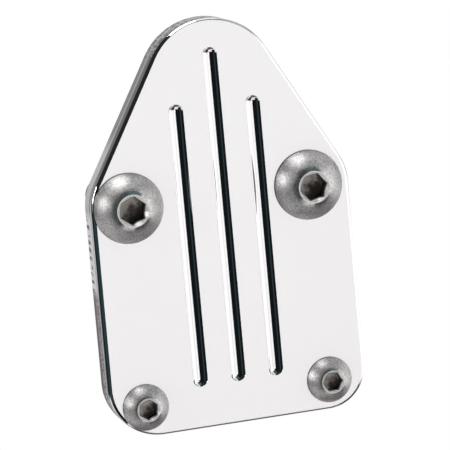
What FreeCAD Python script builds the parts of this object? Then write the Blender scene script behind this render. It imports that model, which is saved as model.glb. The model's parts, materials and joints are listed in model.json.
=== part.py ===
import FreeCAD, Part
import math
import os

# Polished billet cover plate that closes a pump opening on an engine block, with the gasket
# behind it and the four button-head screws that hold it. Millimetres, plate upright.
# Frame: +X right, +Z up, the polished front faces -Y, and +Y points into the engine.
# Origin: midway between the two pump-bolt axes, on the plane where the gasket meets the engine.

# Plate outline: a pentagon with rounded corners, mirror-symmetric about its own centre line,
# which stands a little to the right of the midpoint of the pump bolts
PLATE_THICKNESS = 7.6
CENTRE_LINE_X = 0.7
APEX_TOP_Z = 42.0
APEX_RADIUS = 15.875
FLANK_ANGLE = 29.7
SHOULDER_HALF_WIDTH = 31.4
SHOULDER_RADIUS = 12.7
SIDE_ANGLE = 0.35
FOOT_Z = -54.87
FOOT_RADIUS_LEFT = 12.5
FOOT_RADIUS_RIGHT = 9.5
REAR_EDGE_CHAMFER = 0.25

# Front edge: a hand-polished bevel, flattest along the sides and steepest over the apex, and
# blended into the face and into the side. Its width in the face, all the way round:
BEVEL_DEPTH = 0.44
BEVEL_SIDE_WIDTH = 0.80
BEVEL_FLANK_WIDTH = 0.68
BEVEL_APEX_WIDTH = 0.37
BEVEL_FOOT_WIDTH = 0.48
BEVEL_FACE_RADIUS = 0.25
BEVEL_SIDE_RADIUS = 0.4

# Ball-milled grooves in the front face
GROOVE_WIDTH = 3.6
GROOVE_BALL_RADIUS = 2.38
GROOVE_PITCH = 9.35
GROOVE_CENTRE_X = 0.77
GROOVE_FOOT_Z = -44.7
OUTER_GROOVE_TOP_Z = 22.8
MIDDLE_GROOVE_TOP_Z = 35.2

# Gasket
GASKET_THICKNESS = 0.8
GASKET_INSET = 0.6
GASKET_OPENING_WIDTH = 24.0
GASKET_OPENING_TOP_Z = 20.0
GASKET_OPENING_FOOT_Z = -40.0
GASKET_OPENING_RADIUS = 7.0

# Screw places
PUMP_BOLT_HALF_SPACING = 22.0
PLATE_SCREW_HALF_SPACING = 22.8
PLATE_SCREW_CENTRE_X = 0.36
PLATE_SCREW_Z = -47.65

# Button-head socket screws to inch standard sizes: 3/8-16 x 1 in and 1/4-20 x 3/4 in
PUMP_BOLT = {
    "major_radius": 4.7625,
    "pitch": 25.4 / 16,
    "length": 25.4,
    "head_radius": 8.33,
    "head_height": 5.05,
    "rim_height": 0.45,
    "top_radius": 3.85,
    "hex_across_flats": 5.56,
    "hex_depth": 3.1,
    "clearance_radius": 5.04,
    "runout_pitches": 2.4,
}
PLATE_SCREW = {
    "major_radius": 3.175,
    "pitch": 25.4 / 20,
    "length": 19.05,
    "head_radius": 5.55,
    "head_height": 3.35,
    "rim_height": 0.3,
    "top_radius": 2.7,
    "hex_across_flats": 3.97,
    "hex_depth": 2.1,
    "clearance_radius": 3.38,
    "runout_pitches": 2.0,
}
GASKET_HOLE_ALLOWANCE = 0.3
SOCKET_MOUTH_ALLOWANCE = 0.45
SOCKET_MOUTH_ANGLE = 45.0
SOCKET_POINT_ANGLE = 30.0
GRIP_TAPER = 0.06
THREAD_DEPTH_RATIO = 0.5413
THREAD_ROOT_RATIO = 0.25
THREAD_FLANK_ANGLE = 30.0
CREST_AREA_TOLERANCE = 0.02
TIP_CHAMFER = 0.8

# How far each hex socket is turned from having a corner straight up
HEX_TURN = {
    "pump_bolt_left": 8.0,
    "pump_bolt_right": 20.0,
    "plate_screw_left": 6.0,
    "plate_screw_right": 30.0,
}

GASKET_FRONT_Y = -GASKET_THICKNESS
PLATE_FRONT_Y = GASKET_FRONT_Y - PLATE_THICKNESS
INTO_ENGINE = FreeCAD.Vector(0, 1, 0)


def point(x, z, y=0.0):
    return FreeCAD.Vector(x, y, z)


def outline_corners(side_in=0.0, flank_in=0.0, apex_in=0.0, foot_in=0.0):
    """The pentagon's corners before rounding, each with its rounding radius, anticlockwise.
    The sides, the flanks, the rounded apex and the foot can each be moved inwards."""
    lean = math.radians(FLANK_ANGLE)
    draft = math.tan(math.radians(SIDE_ANGLE))
    # the apex arc's corner stands this many radii above its topmost point
    corner_ratio = 1 / math.sin(lean) - 1
    apex_z = APEX_TOP_Z + APEX_RADIUS * corner_ratio - flank_in / math.sin(lean)
    apex_radius = (apex_z - APEX_TOP_Z + apex_in) / corner_ratio
    # the flank x = (apex_z - z) * tan(lean) meets the side x = half_width - z * draft
    half_width = SHOULDER_HALF_WIDTH - side_in
    slope = math.tan(lean)
    shoulder_z = (apex_z * slope - half_width) / (slope - draft)
    shoulder_x = (apex_z - shoulder_z) * slope
    shoulder_radius = SHOULDER_RADIUS - (side_in + flank_in) / 2
    foot_z = FOOT_Z + foot_in
    foot_x = half_width - foot_z * draft
    foot_trim = (side_in + foot_in) / 2
    corners = [
        (0.0, apex_z, apex_radius),
        (-shoulder_x, shoulder_z, shoulder_radius),
        (-foot_x, foot_z, FOOT_RADIUS_LEFT - foot_trim),
        (foot_x, foot_z, FOOT_RADIUS_RIGHT - foot_trim),
        (shoulder_x, shoulder_z, shoulder_radius),
    ]
    return [(point(x + CENTRE_LINE_X, z), radius) for x, z, radius in corners]


def rounded_polygon(corners, y=0.0):
    """A closed wire through the corners, each replaced by a tangent arc of its radius."""
    arcs = []
    for i, (corner, radius) in enumerate(corners):
        back = (corners[i - 1][0] - corner).normalize()
        ahead = (corners[(i + 1) % len(corners)][0] - corner).normalize()
        half_angle = back.getAngle(ahead) / 2
        reach = radius / math.tan(half_angle)
        inward = (back + ahead).normalize()
        nearest = corner + inward * (radius / math.sin(half_angle) - radius)
        arcs.append((corner + back * reach, nearest, corner + ahead * reach))
    edges = []
    for i, (start, middle, end) in enumerate(arcs):
        edges.append(Part.Arc(start, middle, end).toShape())
        edges.append(Part.LineSegment(end, arcs[(i + 1) % len(arcs)][0]).toShape())
    wire = Part.Wire(edges)
    wire.translate(point(0, 0, y))
    return wire


def edges_at(shape, y):
    """The edges that lie wholly in the plane at this y."""
    box = [(edge, edge.BoundBox) for edge in shape.Edges]
    return [edge for edge, b in box if abs(b.YMin - y) < 1e-4 and abs(b.YMax - y) < 1e-4]


def drill(x, z, radius, y_from, y_to):
    return Part.makeCylinder(radius, y_to - y_from, point(x, z, y_from), INTO_ENGINE)


def screw_places():
    """Each screw node with its size and its axis in x and z."""
    left = PLATE_SCREW_CENTRE_X - PLATE_SCREW_HALF_SPACING
    right = PLATE_SCREW_CENTRE_X + PLATE_SCREW_HALF_SPACING
    return {
        "pump_bolt_left": (PUMP_BOLT, -PUMP_BOLT_HALF_SPACING, 0.0),
        "pump_bolt_right": (PUMP_BOLT, PUMP_BOLT_HALF_SPACING, 0.0),
        "plate_screw_left": (PLATE_SCREW, left, PLATE_SCREW_Z),
        "plate_screw_right": (PLATE_SCREW, right, PLATE_SCREW_Z),
    }


def groove_cutter(x, top_z):
    """The path of a ball cutter down the face: a rod with round ends, part sunk in the plate."""
    half_width = GROOVE_WIDTH / 2
    axis_above_face = math.sqrt(GROOVE_BALL_RADIUS**2 - half_width**2)
    y = PLATE_FRONT_Y - axis_above_face
    low = point(x, GROOVE_FOOT_Z + half_width, y)
    high = point(x, top_z - half_width, y)
    rod = Part.makeCylinder(GROOVE_BALL_RADIUS, high.z - low.z, low, FreeCAD.Vector(0, 0, 1))
    return rod.fuse([Part.makeSphere(GROOVE_BALL_RADIUS, end) for end in (low, high)])


def plate_blank():
    """The plate before drilling: straight sides, and in front of them the bevel."""
    bevel_foot_y = PLATE_FRONT_Y + BEVEL_DEPTH
    outline = rounded_polygon(outline_corners(), bevel_foot_y)
    trimmed = rounded_polygon(
        outline_corners(BEVEL_SIDE_WIDTH, BEVEL_FLANK_WIDTH, BEVEL_APEX_WIDTH, BEVEL_FOOT_WIDTH),
        PLATE_FRONT_Y,
    )
    straight = Part.Face(outline).extrude(point(0, 0, GASKET_FRONT_Y - bevel_foot_y))
    blank = straight.fuse(Part.makeLoft([trimmed, outline], True, True)).removeSplitter()
    blank = blank.makeFillet(BEVEL_SIDE_RADIUS, edges_at(blank, bevel_foot_y))
    blank = blank.makeFillet(BEVEL_FACE_RADIUS, edges_at(blank, PLATE_FRONT_Y))
    return blank.makeChamfer(REAR_EDGE_CHAMFER, edges_at(blank, GASKET_FRONT_Y))


def cover_plate():
    plate = plate_blank()
    holes = [
        drill(x, z, size["clearance_radius"], PLATE_FRONT_Y - 1, 1)
        for size, x, z in screw_places().values()
    ]
    grooves = [
        groove_cutter(GROOVE_CENTRE_X - GROOVE_PITCH, OUTER_GROOVE_TOP_Z),
        groove_cutter(GROOVE_CENTRE_X, MIDDLE_GROOVE_TOP_Z),
        groove_cutter(GROOVE_CENTRE_X + GROOVE_PITCH, OUTER_GROOVE_TOP_Z),
    ]
    return plate.cut(holes + grooves)


def gasket_opening():
    """Outline of the gasket's window, which clears the pump opening in the engine."""
    half = GASKET_OPENING_WIDTH / 2
    top, foot = GASKET_OPENING_TOP_Z, GASKET_OPENING_FOOT_Z
    corners = [(half, top), (-half, top), (-half, foot), (half, foot)]
    return rounded_polygon(
        [(point(x + CENTRE_LINE_X, z), GASKET_OPENING_RADIUS) for x, z in corners]
    )


def gasket():
    outline = Part.Face(rounded_polygon(outline_corners())).makeOffset2D(-GASKET_INSET)
    sheet = outline.cut(Part.Face(gasket_opening()))
    solid = sheet.extrude(point(0, 0, -GASKET_THICKNESS))
    holes = [
        drill(x, z, size["clearance_radius"] + GASKET_HOLE_ALLOWANCE, -5, 5)
        for size, x, z in screw_places().values()
    ]
    return solid.cut(holes)


def screw_blank(size):
    """The screw before threading, its seat at y = 0: domed head towards -Y, shank towards +Y."""
    rim, height = size["rim_height"], size["head_height"]
    outer, top = size["head_radius"], size["top_radius"]
    # the dome is one sphere through the rim's front edge and the edge of the flat top,
    # and its centre stands this far in front of the seat, or behind it when negative
    centre = (top**2 + height**2 - outer**2 - rim**2) / (2 * (height - rim))
    dome_radius = math.hypot(outer, rim - centre)
    rim_angle = math.atan2(outer, rim - centre)
    top_angle = math.atan2(top, height - centre)
    middle_angle = (rim_angle + top_angle) / 2
    crown = point(
        dome_radius * math.sin(middle_angle), 0, -centre - dome_radius * math.cos(middle_angle)
    )
    thread = size["major_radius"]
    grip = PLATE_THICKNESS + GASKET_THICKNESS
    length = size["length"]
    corners = [
        point(0, 0, -height),
        point(top, 0, -height),
        point(outer, 0, -rim),
        point(outer, 0, 0),
        point(thread - GRIP_TAPER, 0, 0),
        point(thread, 0, grip),
        point(thread, 0, length - TIP_CHAMFER),
        point(thread - TIP_CHAMFER, 0, length),
        point(0, 0, length),
    ]
    edges = [Part.LineSegment(a, b).toShape() for a, b in zip(corners, corners[1:])]
    edges[1] = Part.Arc(corners[1], crown, corners[2]).toShape()
    edges.append(Part.LineSegment(corners[-1], corners[0]).toShape())
    profile = Part.Face(Part.Wire(edges))
    return profile.revolve(point(0, 0), INTO_ENGINE, 360)


def thread_cutter(size):
    """A 60 degree groove wound from past the tip to its run-out under the head."""
    pitch, crest = size["pitch"], size["major_radius"]
    root = crest - THREAD_DEPTH_RATIO * pitch
    outside = crest + 0.25 * pitch
    spread = (outside - root) * math.tan(math.radians(THREAD_FLANK_ANGLE))
    root_half = THREAD_ROOT_RATIO * pitch / 2
    start = size["runout_pitches"] * pitch
    turns_height = size["length"] + pitch - start
    helix = Part.makeHelix(pitch, turns_height, crest)
    corners = [
        FreeCAD.Vector(root, 0, -root_half),
        FreeCAD.Vector(root, 0, root_half),
        FreeCAD.Vector(outside, 0, root_half + spread),
        FreeCAD.Vector(outside, 0, -root_half - spread),
    ]
    profile = Part.makePolygon(corners + corners[:1])
    cutter = Part.Wire(helix.Edges).makePipeShell([profile], True, True)
    # the helix is wound about +Z, and the screw's axis is +Y
    cutter.rotate(point(0, 0), FreeCAD.Vector(1, 0, 0), -90)
    cutter.translate(point(0, 0, start))
    return cutter


def socket_cutter(size, turn):
    """The hexagonal socket with its drill point and the countersunk mouth."""
    height, depth = size["head_height"], size["hex_depth"]
    corner_radius = size["hex_across_flats"] / math.sqrt(3)
    corners = []
    for i in range(6):
        angle = math.radians(turn + 60 * i)
        corners.append(
            point(corner_radius * math.sin(angle), corner_radius * math.cos(angle), -height - 1)
        )
    hexagon = Part.Face(Part.makePolygon(corners + corners[:1]))
    prism = hexagon.extrude(INTO_ENGINE * (depth + 1))
    flat = size["hex_across_flats"] / 2
    point_depth = flat * math.tan(math.radians(SOCKET_POINT_ANGLE))
    bottom = point(0, 0, depth - height)
    drill_point = Part.makeCone(flat, 0, point_depth, bottom, INTO_ENGINE)
    mouth = corner_radius + SOCKET_MOUTH_ALLOWANCE
    mouth_depth = mouth / math.tan(math.radians(SOCKET_MOUTH_ANGLE))
    countersink = Part.makeCone(mouth, 0, mouth_depth, point(0, 0, -height), INTO_ENGINE)
    return prism.fuse([drill_point, countersink])


def check_crest(shape, size):
    """Stops the build unless the whole helical crest is there. A thread cut can fail, or lose a
    turn, and still give a valid solid, so the crest's own area past the gasket is compared."""
    radius, pitch = size["major_radius"], size["pitch"]
    depth = THREAD_DEPTH_RATIO * pitch
    cut_width = THREAD_ROOT_RATIO * pitch + 2 * depth * math.tan(math.radians(THREAD_FLANK_ANGLE))
    grip = PLATE_THICKNESS + GASKET_THICKNESS
    blank_area = 2 * math.pi * radius * (size["length"] - TIP_CHAMFER - grip)
    expected = blank_area * (pitch - cut_width) / pitch
    surfaces = [(face, face.Surface) for face in shape.Faces]
    crest = [
        face for face, s in surfaces
        if isinstance(s, Part.Cylinder) and abs(s.Radius - radius) < 1e-3
    ]
    area = sum(face.Area for face in crest)
    starts_at_grip = min(face.BoundBox.YMin for face in crest) < grip + 0.01
    if abs(area - expected) > CREST_AREA_TOLERANCE * expected or not starts_at_grip:
        raise RuntimeError(f"thread crest is {area:.2f} mm2 and {expected:.2f} mm2 is due")


def screw(size, turn):
    shape = screw_blank(size).cut(socket_cutter(size, turn))
    shape = shape.cut(thread_cutter(size))
    check_crest(shape, size)
    return shape


def build_all():
    shapes = {"cover_plate": cover_plate(), "gasket": gasket()}
    for name, (size, x, z) in screw_places().items():
        shape = screw(size, HEX_TURN[name])
        shape.translate(point(x, z, PLATE_FRONT_Y))
        shapes[name] = shape
    return shapes


os.makedirs("parts", exist_ok=True)
for node, shape in build_all().items():
    solids = shape.Solids
    print(node, "solids", len(solids), "volume", round(shape.Volume, 1), "valid", shape.isValid())
    solids[0].exportStep(f"parts/{node}.step")
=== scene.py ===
"""Looks of the polished pump block-off plate: materials, studio, floor and camera round the CAD frame.

Metres. +X right, +Z up, the polished front faces -Y and the engine is towards +Y.
In the studio, azimuth 0 is the way the front faces and grows to the right, in degrees.
"""

import json
import math

import bpy
from mathutils import Matrix, Vector

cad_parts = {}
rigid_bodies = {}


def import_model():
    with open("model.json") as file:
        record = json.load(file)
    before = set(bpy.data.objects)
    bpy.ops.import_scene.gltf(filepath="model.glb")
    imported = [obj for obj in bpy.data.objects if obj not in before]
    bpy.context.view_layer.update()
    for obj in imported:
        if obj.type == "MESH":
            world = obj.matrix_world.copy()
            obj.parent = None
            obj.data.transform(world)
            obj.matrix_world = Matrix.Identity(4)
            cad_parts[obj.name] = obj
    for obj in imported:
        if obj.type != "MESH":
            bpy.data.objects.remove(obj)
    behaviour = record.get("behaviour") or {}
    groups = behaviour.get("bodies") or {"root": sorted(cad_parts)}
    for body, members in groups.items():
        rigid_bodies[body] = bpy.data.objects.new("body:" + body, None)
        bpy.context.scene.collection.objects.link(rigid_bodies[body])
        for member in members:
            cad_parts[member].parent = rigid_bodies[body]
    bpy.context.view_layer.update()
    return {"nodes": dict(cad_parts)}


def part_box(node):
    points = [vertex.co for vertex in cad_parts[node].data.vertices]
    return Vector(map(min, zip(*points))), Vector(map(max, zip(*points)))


for stray in list(bpy.data.objects):
    bpy.data.objects.remove(stray)
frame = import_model()

MM = 0.001

# Camera: where it looks, from where, and how far it leans to its right
AIM = Vector((1.812, -4.6, -7.607)) * MM
CAMERA_AZIMUTH = -14.915
CAMERA_ELEVATION = 9.553
CAMERA_DISTANCE = 615.165 * MM
CAMERA_LEAN = 5.18
LENS_MM = 207.756
SENSOR_MM = 36.0

FLOOR_Z = -140.0 * MM
FLOOR_SIZE = 8.0

SCREWS = ("pump_bolt_left", "pump_bolt_right", "plate_screw_left", "plate_screw_right")
PLATE_FRONT_Y = -8.4 * MM
# Across the flats of the socket, its depth, and the height of the head's rim
HEADS = {
    "pump_bolt": (5.56 * MM, 3.1 * MM, 0.45 * MM),
    "plate_screw": (3.97 * MM, 2.1 * MM, 0.3 * MM),
}
SOCKET_MOUTH_ALLOWANCE = 0.45 * MM
# How far each socket is turned from having a corner straight up, in degrees
SOCKET_TURN = {
    "pump_bolt_left": 8.0,
    "pump_bolt_right": 20.0,
    "plate_screw_left": 6.0,
    "plate_screw_right": 30.0,
}
TURNING_MARK_PITCH = 0.21 * MM

# The flat front has a fine haze over its polish, so it stays light from every side
FACE_METALLIC = 0.55

# Zones of the milled side. Heights are on Z; depths are on Y, from the front at -8.4 mm
# to the rear at -0.8 mm.
APEX_NICKS_FROM = 32 * MM
CHATTER_FROM, CHATTER_TO = -20 * MM, -1 * MM
CHATTER_PITCH = 1.9 * MM
WORN_BELOW = -18 * MM
FRONT_HALF = -5.0 * MM

# Studio cards: azimuth from, to, elevation from, to, softness of the edge, colour.
# A later card covers an earlier one. The dark ones are the room round the camera.
WHITE_LOW, WHITE_HIGH = 0.83, 0.99
CARDS = {
    "under": (-180, 180, -100, -66, 8, (0.13, 0.105, 0.113)),
    "behind": (140, 400, -40, 60, 12, (0.85, 0.85, 0.86)),
    "window": (46, 100, -26, 18, 14, (1.15, 1.15, 1.15)),
    "right_floor": (44, 195, -66, -30, 14, (0.10, 0.09, 0.094)),
    "right_edge": (106, 150, -9.5, 30, 1.5, (0.12, 0.12, 0.12)),
    "upper_right": (66, 125, 27, 64, 9, (0.42, 0.42, 0.42)),
    "canopy": (-30, 50, 20, 76, 4, (0.014, 0.024, 0.026)),
    "canopy_top": (30, 95, 64, 77, 4, (0.014, 0.024, 0.026)),
    "canopy_low": (-30, 24, 4, 24, 4, (0.014, 0.024, 0.026)),
    "teal_patch": (4, 44, 30, 60, 8, (0.07, 0.14, 0.15)),
    "room": (-80, 9.5, -36, 40, 2.0, (0.006, 0.008, 0.009)),
    "room_left_low": (-98, -28, -58, -5, 3, (0.008, 0.008, 0.009)),
    "front_floor": (27, 62, -74, -28, 7, (0.03, 0.028, 0.03)),
    "back_floor": (-200, -112, -68, -34, 12, (0.11, 0.09, 0.095)),
    "low_left": (-120, -66, -58, -22, 8, (0.75, 0.75, 0.76)),
    "room_left_side": (-152, -88, -22, 24, 4, (0.008, 0.008, 0.009)),
    "room_left_high": (-158, -28, 18, 68, 6, (0.02, 0.02, 0.02)),
    "curtain": (-54, -40, -28, 11, 2.0, (0.022, 0.044, 0.048)),
    "face_card": (8.5, 24, -20, 2, 1.5, (1.31, 1.30, 1.305)),
    "face_card_low": (8.5, 24, -24, -11, 5, (1.27, 1.255, 1.255)),
}

# Soft boxes: azimuth, elevation, distance, width, brightness as a radiance
SOFT_BOXES = {
    "soft_box_left": (-82, 16, 0.75, 0.28, 5.4),
    "soft_box_top": (-84, 78, 0.75, 0.42, 3.5),
}


class Shade:
    """One node tree, with short ways to add nodes and join them."""

    def __init__(self, owner):
        owner.use_nodes = True
        self.tree = owner.node_tree
        self.tree.nodes.clear()

    def node(self, kind, inputs=(), **settings):
        made = self.tree.nodes.new(kind)
        for name, value in settings.items():
            setattr(made, name, value)
        for key, value in dict(inputs).items():
            self.put(made.inputs[key], value)
        return made

    def put(self, socket, value):
        if isinstance(value, bpy.types.NodeSocket):
            self.tree.links.new(value, socket)
        elif socket.type == "RGBA" and len(value) == 3:
            socket.default_value = (*value, 1.0)
        else:
            socket.default_value = value

    def math(self, operation, *values):
        made = self.node("ShaderNodeMath", operation=operation)
        for socket, value in zip(made.inputs, values):
            self.put(socket, value)
        return made.outputs[0]

    def step(self, value, start, end, low=0.0, high=1.0):
        """A smooth rise from low at start to high at end."""
        inputs = {"Value": value, "From Min": start, "From Max": end, "To Min": low, "To Max": high}
        made = self.node("ShaderNodeMapRange", inputs, interpolation_type="SMOOTHSTEP")
        return made.outputs["Result"]

    def between(self, value, start, end, soft):
        """1 between start and end, falling to 0 over soft on each side."""
        rise = self.step(value, start - soft / 2, start + soft / 2)
        fall = self.step(value, end - soft / 2, end + soft / 2, 1.0, 0.0)
        return self.math("MULTIPLY", rise, fall)

    def mix(self, factor, first, second):
        made = self.node("ShaderNodeMix", data_type="RGBA")
        for socket, value in zip((made.inputs[0], made.inputs[6], made.inputs[7]), (factor, first, second)):
            self.put(socket, value)
        return made.outputs[2]

    def mix_value(self, factor, first, second):
        made = self.node("ShaderNodeMix", data_type="FLOAT")
        for socket, value in zip((made.inputs[0], made.inputs[2], made.inputs[3]), (factor, first, second)):
            self.put(socket, value)
        return made.outputs[0]

    def coordinate(self, name):
        return self.node("ShaderNodeTexCoord").outputs[name]

    def split(self, vector):
        return self.node("ShaderNodeSeparateXYZ", {0: vector}).outputs

    def join(self, x, y, z):
        return self.node("ShaderNodeCombineXYZ", {0: x, 1: y, 2: z}).outputs[0]

    def noise(self, vector, scale, detail=2.0, roughness=0.5):
        inputs = {"Vector": vector, "Scale": scale, "Detail": detail, "Roughness": roughness}
        return self.node("ShaderNodeTexNoise", inputs).outputs["Fac"]

    def stretched(self, vector, scales):
        """The vector with each axis times its own scale, so that noise runs in streaks."""
        return self.node("ShaderNodeVectorMath", {0: vector, 1: scales}, operation="MULTIPLY").outputs[0]

    def bump(self, height, distance):
        inputs = {"Height": height, "Distance": distance, "Strength": 1.0}
        return self.node("ShaderNodeBump", inputs).outputs["Normal"]

    def finish(self, **inputs):
        surface = self.node("ShaderNodeBsdfPrincipled", {k.replace("_", " "): v for k, v in inputs.items()})
        self.node("ShaderNodeOutputMaterial", {"Surface": surface.outputs[0]})


def on_left(s, place):
    return s.step(s.split(place)[0], -10 * MM, -16 * MM)


def upper_side(s, place, streaks, grit):
    """Streaked grey metal with a painted dark reflection at the front, a painted highlight mid-way and a
    nicked apex.
    """
    _, y, z = s.split(place)
    # Painted dark reflection: the front part of the upper side is painted near-black
    front_dark_reflection = s.math("MULTIPLY", s.step(y, FRONT_HALF, -6.2 * MM), s.step(z, 4 * MM, 12 * MM))
    # Painted highlight: a bright line along the middle of the side's depth
    middle_highlight = s.math("MULTIPLY", s.between(y, -4.7 * MM, -4.0 * MM, 0.4 * MM), 0.7)
    rear_part = s.step(y, -5.8 * MM, -4.4 * MM)
    polished_rear = s.math("MULTIPLY", rear_part, s.between(z, -1 * MM, 15 * MM, 6 * MM))
    apex = s.step(z, APEX_NICKS_FROM, APEX_NICKS_FROM + 3 * MM)
    tone = s.mix(s.step(streaks, 0.3, 0.7), (0.15, 0.15, 0.155), (0.34, 0.34, 0.35))
    tone = s.mix(front_dark_reflection, tone, (0.075, 0.075, 0.08))
    tone = s.mix(middle_highlight, tone, (0.70, 0.70, 0.71))
    tone = s.mix(s.math("MULTIPLY", polished_rear, 0.8), tone, (0.78, 0.78, 0.79))
    tone = s.mix(s.math("MULTIPLY", apex, s.step(grit, 0.49, 0.56)), tone, (0.46, 0.44, 0.43))
    return s.mix(s.math("MULTIPLY", apex, s.step(grit, 0.46, 0.40)), tone, (0.06, 0.055, 0.06))


def chatter(s, place, streaks, tone):
    """The tone with a bright zone in it, struck by a short dark mark about every CHATTER_PITCH."""
    _, y, z = s.split(place)
    ticks = s.noise(s.stretched(place, (0, 240, 1700)), 1, 2, 0.7)
    wander = s.math("MULTIPLY", s.noise(place, 260, 1), 5.0)
    beat = s.math("SINE", s.math("ADD", s.math("MULTIPLY", z, 2 * math.pi / CHATTER_PITCH), wander))
    front_lines = s.math("MULTIPLY", s.step(streaks, 0.47, 0.55), s.step(y, FRONT_HALF, -6.2 * MM))
    struck = s.math("MULTIPLY", s.step(ticks, 0.44, 0.50), s.between(y, -3.8 * MM, -1.2 * MM, 0.8 * MM))
    struck = s.math("MULTIPLY", struck, s.step(beat, -0.25, 0.10))
    zone = s.math("MULTIPLY", s.between(z, CHATTER_FROM, CHATTER_TO, 3 * MM), on_left(s, place))
    tone = s.mix(zone, tone, (0.93, 0.92, 0.93))
    tone = s.mix(s.math("MULTIPLY", zone, front_lines), tone, (0.30, 0.29, 0.30))
    return s.mix(s.math("MULTIPLY", zone, struck), tone, (0.03, 0.025, 0.03))


def worn_foot_with_rear_shade(s, place, grit, tone):
    """The tone with the left side's lower end dull and pinkish, and darker towards the rear as painted shade.
    """
    _, y, z = s.split(place)
    wear_and_rear_shade = s.mix(s.step(grit, 0.42, 0.58), (0.015, 0.010, 0.011), (0.46, 0.36, 0.38))
    # Painted shade: the worn zone is darkened towards the rear, next to the gasket
    wear_and_rear_shade = s.mix(s.step(y, -4.2 * MM, -2.6 * MM), wear_and_rear_shade, (0.035, 0.025, 0.028))
    zone = s.math("MULTIPLY", s.step(z, WORN_BELOW, WORN_BELOW - 5 * MM), on_left(s, place))
    return s.mix(zone, tone, wear_and_rear_shade)


def bevel_border(s, place, tone):
    """The tone with a painted highlight as a bright lip on the lower side and painted shade as a dark line
    next to the bevel.
    """
    _, y, z = s.split(place)
    # Painted highlight: a bright lip along the front of the lower side
    lip_highlight = s.math("MULTIPLY", s.between(y, -7.4 * MM, -6.4 * MM, 0.3 * MM), s.step(z, 6 * MM, 0.0))
    tone = s.mix(s.math("MULTIPLY", lip_highlight, 0.85), tone, (0.76, 0.74, 0.75))
    # Painted shade: a near-black line on the side next to the bevel
    dark_from = s.step(z, -16 * MM, -21 * MM, -7.5 * MM, -7.1 * MM)
    painted_edge_shade = s.step(s.math("SUBTRACT", y, dark_from), 0.1 * MM, -0.1 * MM)
    return s.mix(painted_edge_shade, tone, (0.006, 0.006, 0.007))


def milled_side(s, place):
    """Colour of the milled side with its painted highlights and shade, and the streaks that also give it
    relief.
    """
    streaks = s.noise(s.stretched(place, (70, 3600, 70)), 1, 3, 0.6)
    grit = s.noise(s.stretched(place, (1200, 620, 1200)), 1, 3, 0.7)
    tone = upper_side(s, place, streaks, grit)
    tone = chatter(s, place, streaks, tone)
    tone = worn_foot_with_rear_shade(s, place, grit, tone)
    return bevel_border(s, place, tone), streaks


def polished_plate():
    """Mirror-polished front, bevel and grooves; milled sides and rear."""
    material = bpy.data.materials.new("polished_aluminium")
    s = Shade(material)
    place = s.coordinate("Object")
    facing = s.split(s.coordinate("Normal"))[1]
    milled = s.step(facing, -0.24, -0.12)

    haze = s.noise(place, 90, 3)
    wave = s.noise(place, 140, 1)
    polish_roughness = s.step(haze, 0.3, 0.75, 0.015, 0.04)
    side, streaks = milled_side(s, place)
    rear = s.step(facing, 0.6, 0.9)
    side = s.mix(rear, side, s.mix(haze, (0.40, 0.40, 0.405), (0.56, 0.56, 0.565)))
    height = s.mix_value(milled, s.math("MULTIPLY", wave, 0.12), streaks)
    flat = s.step(facing, -0.9985, -0.9998)
    s.finish(
        Base_Color=s.mix(milled, (0.94, 0.925, 0.932), side),
        Metallic=s.mix_value(flat, 1.0, FACE_METALLIC),
        Roughness=s.mix_value(milled, polish_roughness, 0.36),
        Normal=s.bump(height, 12e-6),
    )
    return material


def from_flats(s, across, turn):
    """Distance from the screw's axis, measured square to the nearest flat of its socket."""
    x, _, z = s.split(across)
    furthest = 0.0
    for side in range(3):
        way = math.radians(turn + 30 + 60 * side)
        along = s.math("ADD", s.math("MULTIPLY", x, math.sin(way)), s.math("MULTIPLY", z, math.cos(way)))
        furthest = s.math("MAXIMUM", furthest, s.math("ABSOLUTE", along))
    return furthest


def socket_floor(s, across, corner, stain):
    """Stained metal with painted light at the upper left and painted shade at the lower right."""
    x, _, z = s.split(across)
    blotch = s.math("MULTIPLY", s.math("SUBTRACT", stain, 0.5), 2.4 * corner)
    # Painted light and shade: lighter towards the upper left, darker towards the lower right, broken by stain
    # blotches
    lit = s.math("ADD", s.math("SUBTRACT", z, x), blotch)
    lit = s.step(lit, -0.75 * corner, 0.75 * corner)
    return s.mix(lit, (0.13, 0.105, 0.095), (1.0, 0.91, 0.83))


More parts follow.
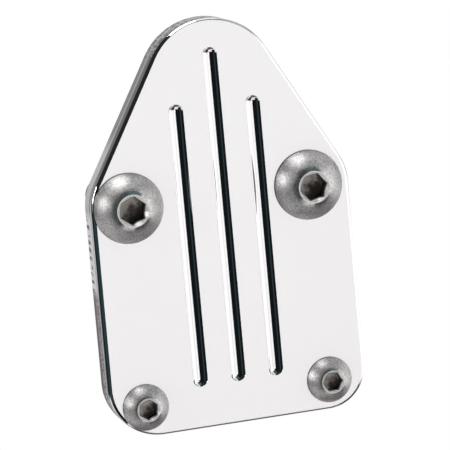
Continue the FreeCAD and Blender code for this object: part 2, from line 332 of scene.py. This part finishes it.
def satin_screw(name):
    """Satin stainless screw: turned dome, a rim painted dark as shade, a countersink painted light as a
    highlight, and a dull, stained socket with painted light and shade.
    """
    low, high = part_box(name)
    axis_x, axis_z = (low.x + high.x) / 2, (low.z + high.z) / 2
    flats, socket_depth, rim_height = next(v for prefix, v in HEADS.items() if name.startswith(prefix))
    corner, head_radius = flats / math.sqrt(3), (high.x - low.x) / 2
    mouth_depth = corner + SOCKET_MOUTH_ALLOWANCE - flats / 2
    material = bpy.data.materials.new("satin_stainless_" + name)
    s = Shade(material)
    place = s.coordinate("Object")
    x, y, z = s.split(place)
    across = s.join(s.math("SUBTRACT", x, axis_x), 0.0, s.math("SUBTRACT", z, axis_z))
    radius = s.node("ShaderNodeVectorMath", {0: across}, operation="LENGTH").outputs["Value"]
    depth = s.math("SUBTRACT", y, low.y)
    inward = s.split(s.coordinate("Normal"))[1]

    # Where each part of the head is
    above_bottom = s.step(depth, socket_depth + 2 * MM, socket_depth + 1.6 * MM)
    within = s.math("MULTIPLY", s.step(radius, corner + 0.1 * MM, corner + 0.02 * MM), above_bottom)
    wall = s.math("MULTIPLY", within, s.step(s.math("ABSOLUTE", inward), 0.45, 0.3))
    below_mouth = s.step(depth, mouth_depth + 0.3 * MM, mouth_depth + 0.5 * MM)
    floor = s.math("MULTIPLY", within, below_mouth)
    in_mouth = s.step(depth, mouth_depth + 0.5 * MM, mouth_depth + 0.3 * MM)
    ring = s.math("MULTIPLY", s.step(radius, corner + 0.62 * MM, corner + 0.5 * MM), in_mouth)
    hexagon = from_flats(s, across, SOCKET_TURN[name])
    outline = s.between(hexagon, flats / 2 + 0.01 * MM, flats / 2 + 0.17 * MM, 0.04 * MM)
    rim_from, rim_to = PLATE_FRONT_Y - 1.05 * rim_height, PLATE_FRONT_Y + rim_height
    rim = s.between(y, rim_from, rim_to, 0.4 * rim_height)
    rim = s.math("MULTIPLY", rim, s.step(inward, 0.7, 0.4))
    dome = s.step(radius, 0.48 * head_radius, 0.66 * head_radius)

    grain = s.noise(place, 2300, 3, 0.7)
    cloud = s.noise(place, 420, 3, 0.6)
    stain = s.noise(place, 700, 2, 0.6)
    turning_marks = s.math("SINE", s.math("MULTIPLY", radius, 2 * math.pi / TURNING_MARK_PITCH))

    tone = s.mix(s.step(cloud, 0.3, 0.7), (0.66, 0.635, 0.63), (0.84, 0.82, 0.815))
    tone = s.mix(s.step(grain, 0.42, 0.66, 0.0, 0.8), tone, (0.36, 0.345, 0.345))
    # Painted shade: the rim is painted near-black for the gap and contact shadow under the head
    tone = s.mix(rim, tone, (0.10, 0.10, 0.105))
    # Painted highlight: the countersink ring is painted near-white and made nearly non-metallic below, so it
    # stays bright all round
    tone = s.mix(ring, tone, (1.0, 0.99, 0.98))
    tone = s.mix(floor, tone, socket_floor(s, across, corner, stain))
    # Painted shade: the socket walls are painted near-black, as shade in the recess
    tone = s.mix(wall, tone, (0.05, 0.045, 0.04))
    # Painted shade: a dark line along the edge of the socket mouth
    tone = s.mix(s.math("MULTIPLY", outline, ring), tone, (0.03, 0.028, 0.026))
    satin = s.math("ADD", s.mix_value(dome, 0.13, 0.45), s.step(cloud, 0.25, 0.75, -0.03, 0.04))
    relief = s.math("MULTIPLY", grain, s.mix_value(dome, 0.3, 1.0))
    relief = s.math("ADD", relief, s.math("MULTIPLY", turning_marks, 0.06))
    s.finish(
        Base_Color=tone,
        Metallic=s.mix_value(s.math("MAXIMUM", ring, floor), 0.85, 0.1),
        Roughness=s.mix_value(floor, satin, 0.6),
        Normal=s.bump(relief, 22e-6),
    )
    return material


def gasket_fibre():
    """Dense dark fibre sheet."""
    material = bpy.data.materials.new("gasket_fibre_sheet")
    s = Shade(material)
    place = s.coordinate("Object")
    fibres = s.noise(s.stretched(place, (900, 2600, 2600)), 1, 5, 0.7)
    fleck = s.noise(place, 1500, 3, 0.6)
    tone = s.mix(fibres, (0.035, 0.033, 0.031), (0.10, 0.094, 0.088))
    tone = s.mix(s.step(fleck, 0.62, 0.72), tone, (0.19, 0.175, 0.155))
    s.finish(
        Base_Color=tone,
        Roughness=s.step(fleck, 0.3, 0.7, 0.75, 0.95),
        Normal=s.bump(fibres, 30e-6),
    )
    return material


def studio_world():
    """White all round, with the studio's dark and coloured cards seen only in reflections."""
    world = bpy.data.worlds.new("studio")
    bpy.context.scene.world = world
    s = Shade(world)
    x, y, z = s.split(s.coordinate("Generated"))
    azimuth = s.math("MULTIPLY", s.math("ARCTAN2", x, s.math("MULTIPLY", y, -1.0)), 180 / math.pi)
    elevation = s.math("MULTIPLY", s.math("ARCSINE", z), 180 / math.pi)
    level = s.step(elevation, -18, -2, WHITE_LOW, WHITE_HIGH)
    colour = s.join(level, level, level)
    for name, (left, right, low, high, soft, tint) in CARDS.items():
        way = s.math("ABSOLUTE", azimuth) if name == "behind" else azimuth
        card = s.math("MULTIPLY", s.between(way, left, right, soft), s.between(elevation, low, high, soft))
        colour = s.mix(card, colour, tint)
    seen = s.node("ShaderNodeLightPath").outputs["Is Camera Ray"]
    colour = s.mix(seen, colour, (1.0, 1.0, 1.0))
    background = s.node("ShaderNodeBackground", {"Color": colour, "Strength": 1.0})
    s.node("ShaderNodeOutputWorld", {"Surface": background.outputs[0]})


def direction(azimuth, elevation):
    a, e = math.radians(azimuth), math.radians(elevation)
    return Vector((math.sin(a) * math.cos(e), -math.cos(a) * math.cos(e), math.sin(e)))


def soft_boxes():
    for name, (azimuth, elevation, distance, width, radiance) in SOFT_BOXES.items():
        light = bpy.data.lights.new(name, "AREA")
        light.shape = "SQUARE"
        light.size = width
        light.energy = radiance * math.pi * width * width
        box = bpy.data.objects.new(name, light)
        way = direction(azimuth, elevation)
        box.location = AIM + way * distance
        box.rotation_mode = "QUATERNION"
        box.rotation_quaternion = way.to_track_quat("Z", "Y")
        bpy.context.scene.collection.objects.link(box)


def pale_floor():
    """A plain floor below the plate. The camera sees it as even white, with no shadow."""
    half = FLOOR_SIZE / 2
    corners = [(-half, -half, FLOOR_Z), (half, -half, FLOOR_Z), (half, half, FLOOR_Z), (-half, half, FLOOR_Z)]
    mesh = bpy.data.meshes.new("floor")
    mesh.from_pydata(corners, [], [(0, 1, 2, 3)])
    floor = bpy.data.objects.new("floor", mesh)
    bpy.context.scene.collection.objects.link(floor)
    material = bpy.data.materials.new("pale_floor")
    s = Shade(material)
    seen = s.node("ShaderNodeLightPath").outputs["Is Camera Ray"]
    matt = s.node("ShaderNodeBsdfDiffuse", {"Color": (0.9, 0.9, 0.9)})
    glow = s.node("ShaderNodeEmission", {"Color": (1.0, 1.0, 1.0), "Strength": 1.0})
    mixed = s.node("ShaderNodeMixShader", {0: seen, 1: matt.outputs[0], 2: glow.outputs[0]})
    s.node("ShaderNodeOutputMaterial", {"Surface": mixed.outputs[0]})
    mesh.materials.append(material)
    floor.visible_glossy = False


def camera():
    back = direction(CAMERA_AZIMUTH, CAMERA_ELEVATION)
    level_right = (-back).cross(Vector((0, 0, 1))).normalized()
    level_up = level_right.cross(-back)
    lean = math.radians(CAMERA_LEAN)
    right = math.cos(lean) * level_right - math.sin(lean) * level_up
    up = math.sin(lean) * level_right + math.cos(lean) * level_up
    data = bpy.data.cameras.new("camera")
    data.lens, data.sensor_width = LENS_MM, SENSOR_MM
    data.clip_start, data.clip_end = 0.01, 20.0
    made = bpy.data.objects.new("camera", data)
    bpy.context.scene.collection.objects.link(made)
    turn = Matrix((right, up, back)).transposed().to_4x4()
    made.matrix_world = Matrix.Translation(AIM + back * CAMERA_DISTANCE) @ turn
    bpy.context.scene.camera = made


def paint(node, material):
    slots = frame["nodes"][node].data.materials
    slots.clear()
    slots.append(material)


paint("cover_plate", polished_plate())
paint("gasket", gasket_fibre())
for screw in SCREWS:
    paint(screw, satin_screw(screw))
studio_world()
soft_boxes()
pale_floor()
camera()
bpy.context.scene.view_settings.view_transform = "Standard"
